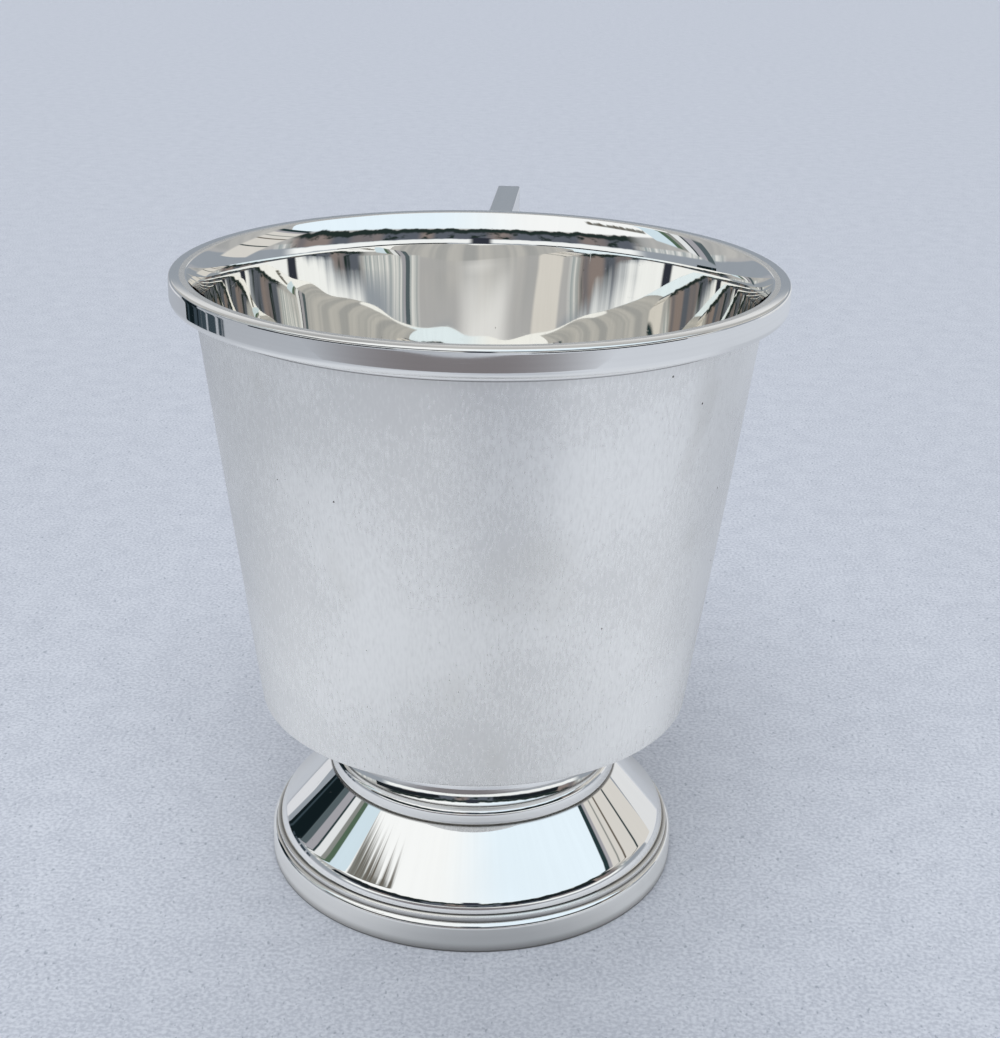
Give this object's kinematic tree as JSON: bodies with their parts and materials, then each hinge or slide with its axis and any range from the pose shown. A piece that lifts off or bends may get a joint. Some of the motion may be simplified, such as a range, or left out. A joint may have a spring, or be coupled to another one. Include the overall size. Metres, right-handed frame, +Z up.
{
  "type": "christening mug",
  "caption": "Tapered silver mug with a flared lip, a moulded rim and an angular bar handle, standing on a waisted neck and a hollow conical foot with a base band.",
  "frame": {"origin": "on the surface the mug stands on, under the middle of its overall length from the front of the rim to the back of the handle", "axes": "+Z up along the mug's axis, +Y along the handle, away from the bowl, +X to the right seen from the front"},
  "size_m": [0.075, 0.0954, 0.08],
  "materials": {
    "bowl_silver": "polished",
    "moulding_silver": "polished",
    "cone_silver": "polished",
    "handle_silver": "polished"
  },
  "bodies": {
    "root": {"bowl_wall": "bowl_silver", "bowl_floor": "bowl_silver", "rim_moulding": "moulding_silver", "neck": "moulding_silver", "neck_ring": "moulding_silver", "foot_cone": "cone_silver", "foot_fillet": "moulding_silver", "foot_band": "moulding_silver", "handle_top_arm": "handle_silver", "handle_grip": "handle_silver", "handle_lower_arm": "handle_silver"}
  },
  "joints": []
}
